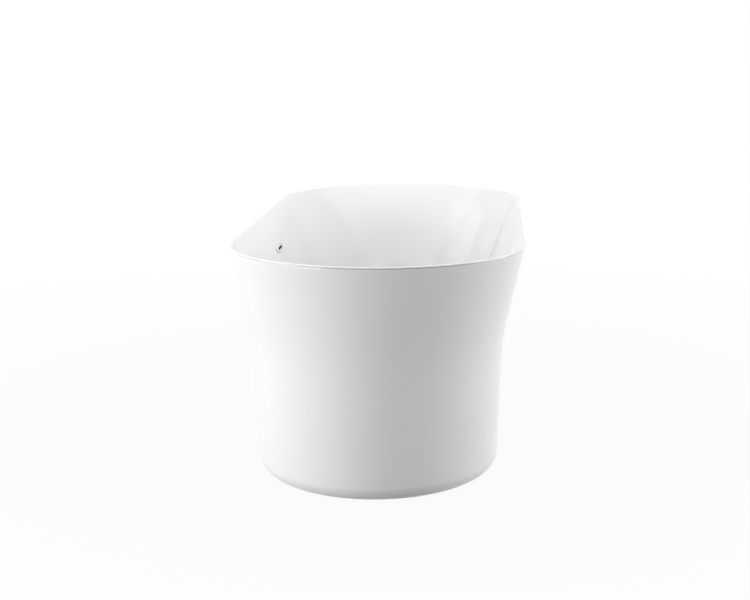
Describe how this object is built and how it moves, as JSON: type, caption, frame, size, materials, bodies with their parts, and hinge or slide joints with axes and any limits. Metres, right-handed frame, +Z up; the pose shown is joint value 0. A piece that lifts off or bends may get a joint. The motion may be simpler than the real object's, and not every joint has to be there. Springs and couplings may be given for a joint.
{
  "type": "freestanding bathtub",
  "caption": "Free-standing double-skinned tub with round ends, flared skirt, slotted overflow, click plug that lifts, hidden steel frame and levelling feet that screw out.",
  "frame": {"origin": "on the floor, under the centre of the tub", "axes": "+Z up; +Y along the tub, away from the picture's camera; +X across the tub, to the right in the picture"},
  "size_m": [0.75, 1.7, 0.58],
  "materials": {
    "acrylic": "high gloss white acrylic",
    "sealant": "satin pale grey sealant bead",
    "board": "raw particle board",
    "frame_paint": "grey powder coat",
    "zinc": "zinc plated, slightly dull",
    "chrome": "polished chrome",
    "brass": "turned brass",
    "black_rubber": "matte black rubber",
    "white_plastic": "satin white moulding",
    "grey_plastic": "matte dark grey moulding"
  },
  "bodies": {
    "tub": {"basin_shell": "acrylic", "outer_skirt": "acrylic", "rim_bead": "sealant", "base_board_front": "board", "base_board_rear": "board", "bearer_front": "frame_paint", "bearer_middle_front": "frame_paint", "bearer_middle_rear": "frame_paint", "bearer_rear": "frame_paint", "rail_left": "frame_paint", "rail_right": "frame_paint", "foot_front_left_lock_nut": "zinc", "foot_front_left_bush": "zinc", "skirt_bracket_front_left": "zinc", "bracket_bolt_front_left": "zinc", "foot_front_right_lock_nut": "zinc", "foot_front_right_bush": "zinc", "skirt_bracket_front_right": "zinc", "bracket_bolt_front_right": "zinc", "foot_rear_left_lock_nut": "zinc", "foot_rear_left_bush": "zinc", "skirt_bracket_rear_left": "zinc", "bracket_bolt_rear_left": "zinc", "foot_rear_right_lock_nut": "zinc", "foot_rear_right_bush": "zinc", "skirt_bracket_rear_right": "zinc", "bracket_bolt_rear_right": "zinc", "waste_gasket_upper": "black_rubber", "waste_gasket_lower": "black_rubber", "outlet_washer": "black_rubber", "overflow_gasket": "black_rubber", "waste_flange": "chrome", "overflow_trim": "chrome", "waste_body": "white_plastic", "plug_cartridge": "white_plastic", "overflow_body": "white_plastic", "overflow_hose": "white_plastic", "outlet_nut": "grey_plastic", "plug_spring": "zinc", "overflow_screw_1": "zinc", "overflow_screw_2": "zinc", "hose_clamp_upper": "zinc", "hose_clamp_lower": "zinc"},
    "plug": {"plug_cap": "chrome", "plug_seal": "black_rubber", "plug_stem": "brass"},
    "pad_front_left": {"foot_front_left_pad": "grey_plastic", "foot_front_left_sole": "black_rubber"},
    "stud_front_left": {"foot_front_left_stud": "zinc"},
    "pad_front_right": {"foot_front_right_pad": "grey_plastic", "foot_front_right_sole": "black_rubber"},
    "stud_front_right": {"foot_front_right_stud": "zinc"},
    "pad_rear_left": {"foot_rear_left_pad": "grey_plastic", "foot_rear_left_sole": "black_rubber"},
    "stud_rear_left": {"foot_rear_left_stud": "zinc"},
    "pad_rear_right": {"foot_rear_right_pad": "grey_plastic", "foot_rear_right_sole": "black_rubber"},
    "stud_rear_right": {"foot_rear_right_stud": "zinc"}
  },
  "joints": [
    {"name": "plug_lift", "type": "slide", "parent": "tub", "child": "plug", "axis": [0, 0, 1], "range_m": [0, 0.009], "deforming": ["plug_spring"]},
    {"name": "foot_travel_front_left", "type": "slide", "parent": "tub", "child": "pad_front_left", "axis": [0, 0, -1], "range_m": [0, 0.02]},
    {"name": "stud_turn_front_left", "type": "hinge", "parent": "pad_front_left", "child": "stud_front_left", "pos_m": [-0.1887, -0.47, 0.05], "axis": [0, 0, -1], "range_deg": [0, 4800]},
    {"name": "foot_travel_front_right", "type": "slide", "parent": "tub", "child": "pad_front_right", "axis": [0, 0, -1], "range_m": [0, 0.02]},
    {"name": "stud_turn_front_right", "type": "hinge", "parent": "pad_front_right", "child": "stud_front_right", "pos_m": [0.1887, -0.47, 0.05], "axis": [0, 0, -1], "range_deg": [0, 4800]},
    {"name": "foot_travel_rear_left", "type": "slide", "parent": "tub", "child": "pad_rear_left", "axis": [0, 0, -1], "range_m": [0, 0.02]},
    {"name": "stud_turn_rear_left", "type": "hinge", "parent": "pad_rear_left", "child": "stud_rear_left", "pos_m": [-0.1887, 0.47, 0.05], "axis": [0, 0, -1], "range_deg": [0, 4800]},
    {"name": "foot_travel_rear_right", "type": "slide", "parent": "tub", "child": "pad_rear_right", "axis": [0, 0, -1], "range_m": [0, 0.02]},
    {"name": "stud_turn_rear_right", "type": "hinge", "parent": "pad_rear_right", "child": "stud_rear_right", "pos_m": [0.1887, 0.47, 0.05], "axis": [0, 0, -1], "range_deg": [0, 4800]}
  ],
  "couplings": [
    {"joint": "stud_turn_front_left", "follows": "foot_travel_front_left", "rad_per_m": 4188.8},
    {"joint": "stud_turn_front_right", "follows": "foot_travel_front_right", "rad_per_m": 4188.8},
    {"joint": "stud_turn_rear_left", "follows": "foot_travel_rear_left", "rad_per_m": 4188.8},
    {"joint": "stud_turn_rear_right", "follows": "foot_travel_rear_right", "rad_per_m": 4188.8}
  ]
}
